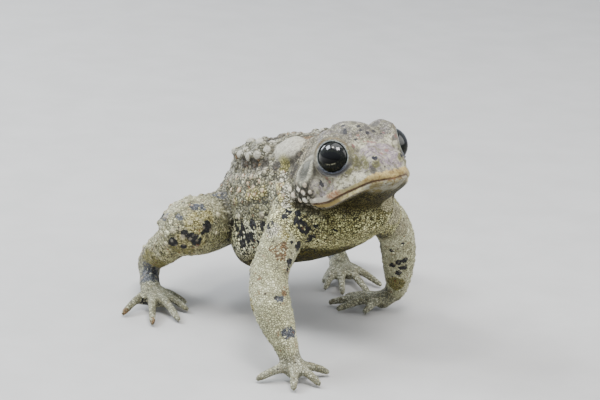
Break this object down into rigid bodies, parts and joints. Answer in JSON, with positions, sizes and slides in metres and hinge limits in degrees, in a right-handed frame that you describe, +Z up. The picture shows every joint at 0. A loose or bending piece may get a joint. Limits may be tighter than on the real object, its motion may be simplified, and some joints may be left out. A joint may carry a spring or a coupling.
{
  "type": "american toad model",
  "caption": "Life-size model of a warty American toad caught mid-step, head raised, standing on all four webbed feet.",
  "frame": {"origin": "on the floor, under the middle of the model's bounding box", "axes": "-Y the way the toad walks, +X its own left side, +Z up"},
  "size_m": [0.0798, 0.0838, 0.0582],
  "materials": {
    "skin": "dry, warty, grey-tan with black blotches and cream granules",
    "gland": "smooth pale grey-beige",
    "ear_drum": "thin, taut, grey",
    "eye": "wet, glossy, black pupil in a dark bronze iris"
  },
  "bodies": {
    "root": {"head": "skin", "jaw": "skin", "torso": "skin", "gland_right": "gland", "gland_left": "gland", "ear_drum_right": "ear_drum", "ear_drum_left": "ear_drum", "eye_right": "eye", "eye_left": "eye", "upper_arm_right": "skin", "upper_arm_left": "skin", "forearm_right": "skin", "forearm_left": "skin", "hand_right": "skin", "hand_left": "skin", "thigh_right": "skin", "thigh_left": "skin", "shin_right": "skin", "shin_left": "skin", "tarsus_right": "skin", "tarsus_left": "skin", "foot_right": "skin", "foot_left": "skin"}
  },
  "joints": []
}
